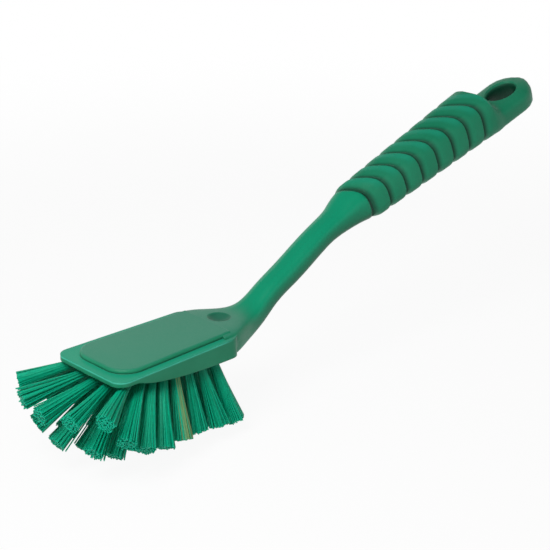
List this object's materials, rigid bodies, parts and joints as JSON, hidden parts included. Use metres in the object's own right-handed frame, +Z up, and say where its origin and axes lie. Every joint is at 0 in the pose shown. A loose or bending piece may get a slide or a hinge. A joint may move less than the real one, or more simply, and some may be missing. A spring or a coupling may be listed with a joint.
{
  "type": "dish brush",
  "caption": "Dish brush with a tufted, rounded-off rectangular head, a raked neck and a ribbed grip ending in a hanging eye.",
  "frame": {"origin": "middle of the footprint, on the level of the lowest bristle tips", "axes": "+X from the head towards the hanging eye, +Y to the side across the head, +Z up from the bristles to the back"},
  "size_m": [0.2814, 0.068, 0.107],
  "materials": {
    "body": "satin moulded plastic",
    "bristle": "extruded filaments, cut square",
    "anchor": "drawn flat wire"
  },
  "bodies": {
    "root": {"brush_body": "body", "anchor_plates": "anchor", "tuft_1_1": "bristle", "tuft_1_2": "bristle", "tuft_1_3": "bristle", "tuft_1_4": "bristle", "tuft_1_5": "bristle", "tuft_2_1": "bristle", "tuft_2_2": "bristle", "tuft_2_3": "bristle", "tuft_2_4": "bristle", "tuft_2_5": "bristle", "tuft_3_1": "bristle", "tuft_3_2": "bristle", "tuft_3_3": "bristle", "tuft_3_4": "bristle", "tuft_3_5": "bristle", "tuft_4_1": "bristle", "tuft_4_2": "bristle", "tuft_4_3": "bristle", "tuft_4_4": "bristle", "tuft_4_5": "bristle", "tuft_5_1": "bristle", "tuft_5_2": "bristle", "tuft_5_3": "bristle", "tuft_5_4": "bristle", "tuft_5_5": "bristle", "tuft_6_1": "bristle", "tuft_6_2": "bristle", "tuft_6_3": "bristle", "tuft_6_4": "bristle", "tuft_6_5": "bristle", "tuft_7_1": "bristle", "tuft_7_2": "bristle", "tuft_7_3": "bristle", "tuft_7_4": "bristle", "tuft_7_5": "bristle", "tuft_8_1": "bristle", "tuft_8_2": "bristle", "tuft_8_3": "bristle", "tuft_8_4": "bristle", "tuft_8_5": "bristle"}
  },
  "joints": []
}
